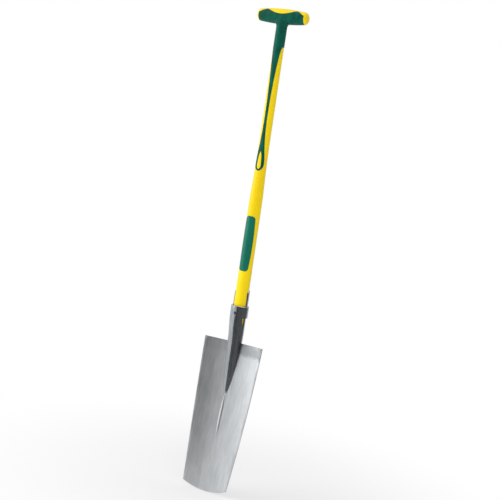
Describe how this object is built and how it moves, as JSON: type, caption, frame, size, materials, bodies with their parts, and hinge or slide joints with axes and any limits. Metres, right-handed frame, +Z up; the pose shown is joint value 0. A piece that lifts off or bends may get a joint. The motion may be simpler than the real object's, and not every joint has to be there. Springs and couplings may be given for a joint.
{
  "type": "garden spade",
  "caption": "Long narrow trenching spade: dished forged blade, strapped socket with side windows, sheathed shaft that swells towards the foot, and a soft-covered cross grip.",
  "frame": {"origin": "on the shaft's axis, in the middle of the straight band of shaft between badge and socket that a rack clip holds", "axes": "+Z runs up the shaft to the cross grip, +X runs along the cross grip to the right of a user who looks at the dished face, and the dished face looks to -Y"},
  "size_m": [0.153, 0.0713, 1.1293],
  "materials": {
    "ash_wood": "sawn ash, sealed inside the sheath",
    "yellow_sheath": "moulded polypropylene, satin",
    "green_soft_grip": "moulded thermoplastic elastomer, matt",
    "green_badge": "moulded plate, satin, bare",
    "satin_steel": "forged and ground lengthwise, clear coat",
    "polished_steel": "forged and polished",
    "rivet_steel": "plain drawn steel"
  },
  "bodies": {
    "root": {"shaft_core": "ash_wood", "grip_core": "ash_wood", "grip_pin": "rivet_steel", "shaft_sheath": "yellow_sheath", "grip_shell": "yellow_sheath", "grip_cover": "green_soft_grip", "badge_plate": "green_badge", "socket": "polished_steel", "back_strap": "polished_steel", "socket_rivet": "rivet_steel", "blade": "satin_steel"}
  },
  "joints": []
}
